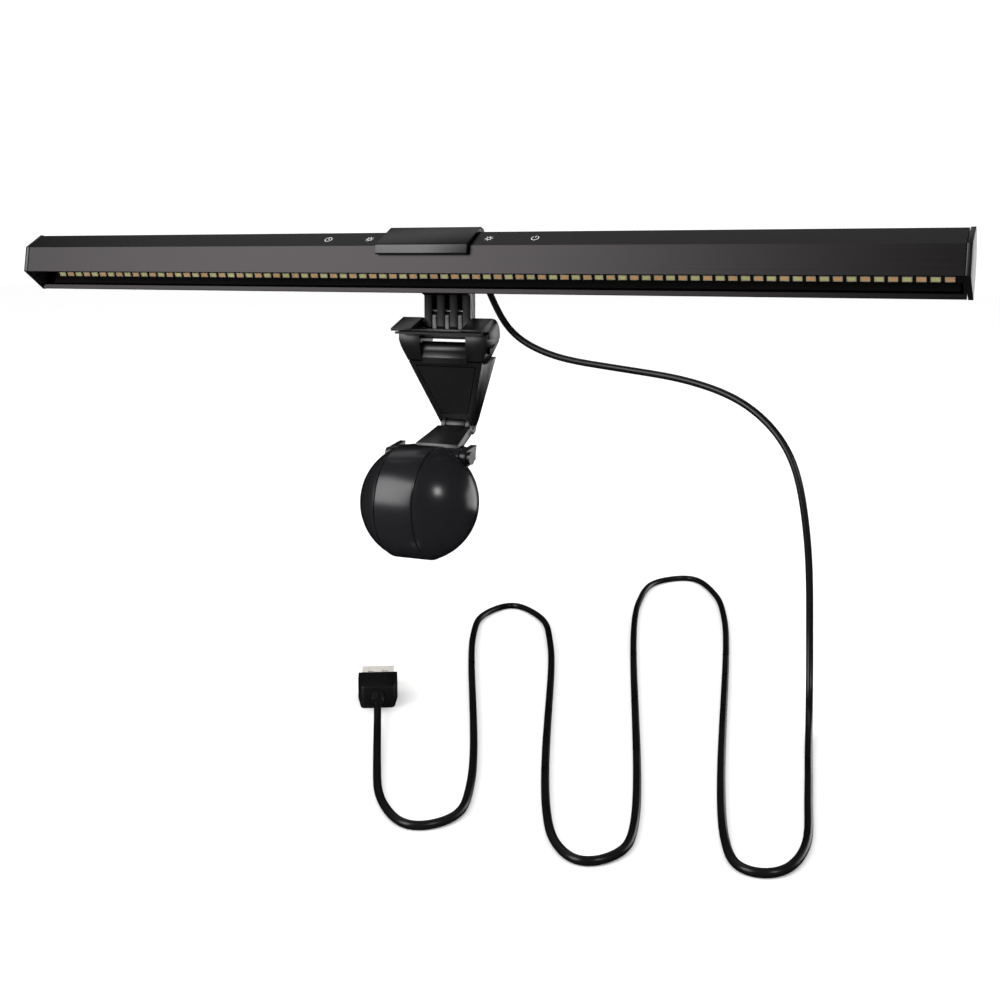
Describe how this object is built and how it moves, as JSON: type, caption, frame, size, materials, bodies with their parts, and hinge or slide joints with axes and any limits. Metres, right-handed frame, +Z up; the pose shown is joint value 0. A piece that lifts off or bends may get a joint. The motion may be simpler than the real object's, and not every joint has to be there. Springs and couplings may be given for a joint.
{
  "type": "monitor light bar",
  "caption": "Slim black light bar for the top edge of a monitor, on a tilting clip with a folding lever, an arm and a round counterweight, and a USB power lead that lies loose.",
  "frame": {"origin": "midway along the clip's pad on its flat underside, where the part rests on a monitor's top edge", "axes": "+X along the bar to the user's right, +Y away from the user, towards the monitor's back, +Z up"},
  "size_m": [0.4, 0.3266, 0.1729],
  "materials": {
    "anodised_metal": "black anodised extrusion with a fine satin grain along its length",
    "matte_black": "moulded black plastic, satin, finely textured",
    "gloss_black": "moulded black plastic, polished",
    "inner_black": "dull black inside parts",
    "led_board": "black solder mask with a row of small emitters, warm and cool in turn",
    "circuit_board": "green solder mask, satin",
    "soft_rubber": "soft silicone rubber, dull",
    "steel": "plain turned steel",
    "weight_steel": "turned steel slug, hidden inside the ball",
    "cord_jacket": "smooth black jacket with a soft sheen",
    "plug_black": "moulded black overmould, satin",
    "plug_metal": "nickel-plated pressed shell",
    "plug_tongue": "white moulded insulator"
  },
  "bodies": {
    "clip": {"clip_shelf": "matte_black", "shelf_pad": "soft_rubber", "tilt_pin": "steel", "lever_pin": "steel", "plug_strain_relief": "cord_jacket", "plug_overmould": "plug_black", "plug_shell": "plug_metal", "plug_tongue": "plug_tongue"},
    "bar": {"bar_housing": "anodised_metal", "end_cap_left": "matte_black", "end_cap_right": "matte_black", "led_board": "led_board", "reflector": "inner_black", "light_baffle": "inner_black", "control_board": "circuit_board", "touch_pad_1": "soft_rubber", "touch_pad_2": "soft_rubber", "touch_pad_3": "soft_rubber", "touch_pad_4": "soft_rubber", "bracket_cap": "matte_black", "bracket_saddle": "matte_black", "saddle_screw_left": "steel", "saddle_screw_right": "steel", "cable_gland": "soft_rubber", "cord": "cord_jacket"},
    "lever": {"lever": "matte_black", "lever_pad": "soft_rubber", "elbow_pin": "steel"},
    "arm": {"arm": "matte_black", "pivot_screw_left": "steel", "pivot_screw_right": "steel"},
    "ball": {"ball_band": "gloss_black", "ball_dome_left": "gloss_black", "ball_dome_right": "gloss_black", "counterweight": "weight_steel"}
  },
  "joints": [
    {"name": "bar_tilt", "type": "hinge", "parent": "clip", "child": "bar", "pos_m": [0, 0.00715, 0.0032], "axis": [1, 0, 0], "range_deg": [-20, 25]},
    {"name": "lever_swing", "type": "hinge", "parent": "clip", "child": "lever", "pos_m": [0, 0.0054, -0.0065], "axis": [1, 0, 0], "range_deg": [0, 60]},
    {"name": "elbow", "type": "hinge", "parent": "lever", "child": "arm", "pos_m": [0, 0.0148, -0.0382], "axis": [1, 0, 0], "range_deg": [0, 90]},
    {"name": "ball_pivot", "type": "hinge", "parent": "arm", "child": "ball", "pos_m": [0, -0.011, -0.0472], "axis": [1, 0, 0], "range_deg": [-50, 0]}
  ]
}
